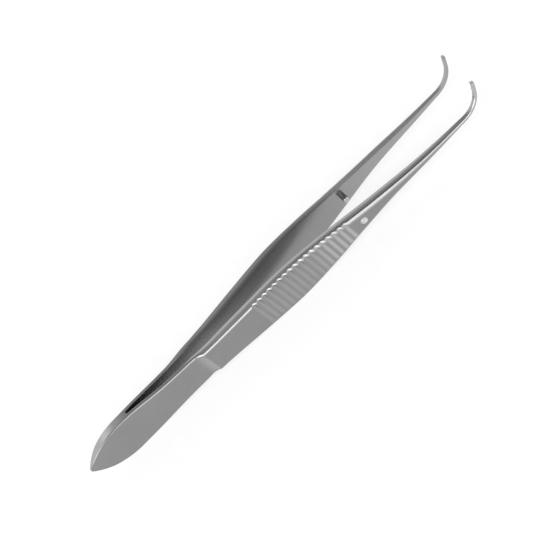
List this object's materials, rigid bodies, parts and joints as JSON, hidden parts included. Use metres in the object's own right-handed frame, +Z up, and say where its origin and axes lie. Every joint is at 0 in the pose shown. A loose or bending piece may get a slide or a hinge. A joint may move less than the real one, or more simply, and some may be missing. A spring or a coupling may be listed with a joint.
{
  "type": "iris forceps",
  "caption": "Curved iris tissue forceps: sprung arms joined at a flat heel, grooved grips, a guide pin, and bent tips with interlocking teeth.",
  "frame": {"origin": "under the middle of the forceps, on the surface that it lies on", "axes": "+X from the heel to the tips, Y the way the arms open, +Z up, the way the tips bend"},
  "size_m": [0.1001, 0.0114, 0.0087],
  "materials": {
    "steel": "satin stainless steel, brighter along its edges"
  },
  "bodies": {
    "heel": {"heel": "steel"},
    "near_arm": {"near_arm": "steel"},
    "far_arm": {"far_arm": "steel", "guide_pin": "steel"}
  },
  "joints": [
    {"name": "near_leaf", "type": "hinge", "parent": "heel", "child": "near_arm", "pos_m": [-0.03, -0.00084, 0.00405], "axis": [0.0055, 0, 1], "range_deg": [0, 3.2], "stiffness_Nm_per_rad": 1},
    {"name": "far_leaf", "type": "hinge", "parent": "heel", "child": "far_arm", "pos_m": [-0.03, 0.00084, 0.00405], "axis": [-0.0055, 0, -1], "range_deg": [0, 3.2], "stiffness_Nm_per_rad": 1}
  ],
  "couplings": [
    {"joint": "far_leaf", "follows": "near_leaf", "ratio": 1}
  ]
}
